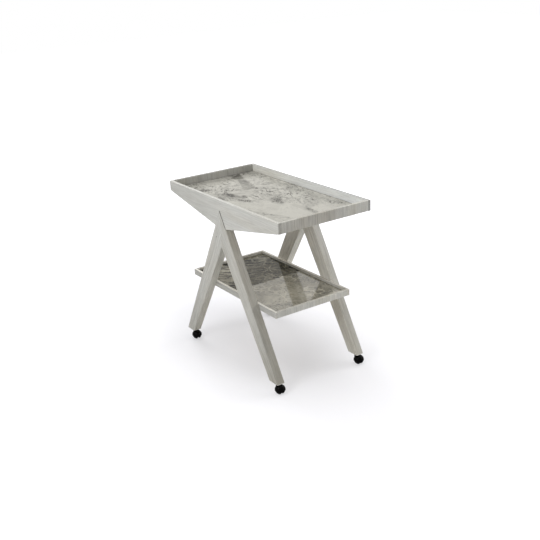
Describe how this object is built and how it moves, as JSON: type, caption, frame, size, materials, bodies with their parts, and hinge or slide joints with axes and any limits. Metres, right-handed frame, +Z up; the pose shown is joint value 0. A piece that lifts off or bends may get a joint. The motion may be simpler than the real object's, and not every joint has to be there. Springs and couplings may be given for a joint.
{
  "type": "cheese trolley",
  "caption": "Wooden serving trolley: a shallow wedge-sided tray and a smaller tray, each with a stone slab, carried by A-shaped leg frames on ball casters.",
  "frame": {"origin": "on the floor under the middle of the trolley", "axes": "+X along the trolley's length, -Y the near side, +Z up"},
  "size_m": [0.85, 0.462, 0.748],
  "materials": {
    "oak": "white-washed grey oak, open grain, matt oil",
    "plywood": "sanded plywood",
    "dowel_wood": "plain beech",
    "pale_stone": "polished pale beige-grey marble with mottled veins",
    "grey_stone": "polished grey-green marble with dark streaks",
    "black_nylon": "black moulded nylon, satin gloss",
    "black_wheel": "black nylon wheel, slightly worn tread",
    "zinc_steel": "bright zinc plate"
  },
  "bodies": {
    "frame": {"near_side_board": "oak", "far_side_board": "oak", "left_end_board": "oak", "right_end_board": "oak", "upper_base_panel": "plywood", "upper_slab": "pale_stone", "lower_near_board": "oak", "lower_far_board": "oak", "lower_left_board": "oak", "lower_right_board": "oak", "lower_base_panel": "plywood", "lower_slab": "grey_stone", "near_left_leg": "oak", "near_right_leg": "oak", "far_left_leg": "oak", "far_right_leg": "oak", "near_left_corner_block": "oak", "near_right_corner_block": "oak", "far_left_corner_block": "oak", "far_right_corner_block": "oak", "head_dowels": "dowel_wood", "wing_dowels": "dowel_wood", "upper_corner_dowels": "dowel_wood", "lower_corner_dowels": "dowel_wood", "lower_tray_screws": "zinc_steel", "corner_block_screws": "zinc_steel", "caster_sockets": "zinc_steel"},
    "near_left_caster": {"near_left_hood": "black_nylon", "near_left_stem": "zinc_steel", "near_left_axle": "zinc_steel"},
    "near_left_outer_wheel": {"near_left_outer_wheel": "black_wheel"},
    "near_left_inner_wheel": {"near_left_inner_wheel": "black_wheel"},
    "near_right_caster": {"near_right_hood": "black_nylon", "near_right_stem": "zinc_steel", "near_right_axle": "zinc_steel"},
    "near_right_outer_wheel": {"near_right_outer_wheel": "black_wheel"},
    "near_right_inner_wheel": {"near_right_inner_wheel": "black_wheel"},
    "far_left_caster": {"far_left_hood": "black_nylon", "far_left_stem": "zinc_steel", "far_left_axle": "zinc_steel"},
    "far_left_outer_wheel": {"far_left_outer_wheel": "black_wheel"},
    "far_left_inner_wheel": {"far_left_inner_wheel": "black_wheel"},
    "far_right_caster": {"far_right_hood": "black_nylon", "far_right_stem": "zinc_steel", "far_right_axle": "zinc_steel"},
    "far_right_outer_wheel": {"far_right_outer_wheel": "black_wheel"},
    "far_right_inner_wheel": {"far_right_inner_wheel": "black_wheel"}
  },
  "joints": [
    {"name": "near_left_swivel", "type": "hinge", "parent": "frame", "child": "near_left_caster", "pos_m": [-0.341, -0.2085, 0.045], "axis": [0, 0, 1], "continuous": true},
    {"name": "near_left_outer_wheel_spin", "type": "hinge", "parent": "near_left_caster", "child": "near_left_outer_wheel", "pos_m": [-0.321, -0.2085, 0.019], "axis": [0, 1, 0], "continuous": true},
    {"name": "near_left_inner_wheel_spin", "type": "hinge", "parent": "near_left_caster", "child": "near_left_inner_wheel", "pos_m": [-0.321, -0.2085, 0.019], "axis": [0, 1, 0], "continuous": true},
    {"name": "near_right_swivel", "type": "hinge", "parent": "frame", "child": "near_right_caster", "pos_m": [0.341, -0.2085, 0.045], "axis": [0, 0, 1], "continuous": true},
    {"name": "near_right_outer_wheel_spin", "type": "hinge", "parent": "near_right_caster", "child": "near_right_outer_wheel", "pos_m": [0.361, -0.2085, 0.019], "axis": [0, 1, 0], "continuous": true},
    {"name": "near_right_inner_wheel_spin", "type": "hinge", "parent": "near_right_caster", "child": "near_right_inner_wheel", "pos_m": [0.361, -0.2085, 0.019], "axis": [0, 1, 0], "continuous": true},
    {"name": "far_left_swivel", "type": "hinge", "parent": "frame", "child": "far_left_caster", "pos_m": [-0.341, 0.2085, 0.045], "axis": [0, 0, 1], "continuous": true},
    {"name": "far_left_outer_wheel_spin", "type": "hinge", "parent": "far_left_caster", "child": "far_left_outer_wheel", "pos_m": [-0.321, 0.2085, 0.019], "axis": [0, 1, 0], "continuous": true},
    {"name": "far_left_inner_wheel_spin", "type": "hinge", "parent": "far_left_caster", "child": "far_left_inner_wheel", "pos_m": [-0.321, 0.2085, 0.019], "axis": [0, 1, 0], "continuous": true},
    {"name": "far_right_swivel", "type": "hinge", "parent": "frame", "child": "far_right_caster", "pos_m": [0.341, 0.2085, 0.045], "axis": [0, 0, 1], "continuous": true},
    {"name": "far_right_outer_wheel_spin", "type": "hinge", "parent": "far_right_caster", "child": "far_right_outer_wheel", "pos_m": [0.361, 0.2085, 0.019], "axis": [0, 1, 0], "continuous": true},
    {"name": "far_right_inner_wheel_spin", "type": "hinge", "parent": "far_right_caster", "child": "far_right_inner_wheel", "pos_m": [0.361, 0.2085, 0.019], "axis": [0, 1, 0], "continuous": true}
  ]
}
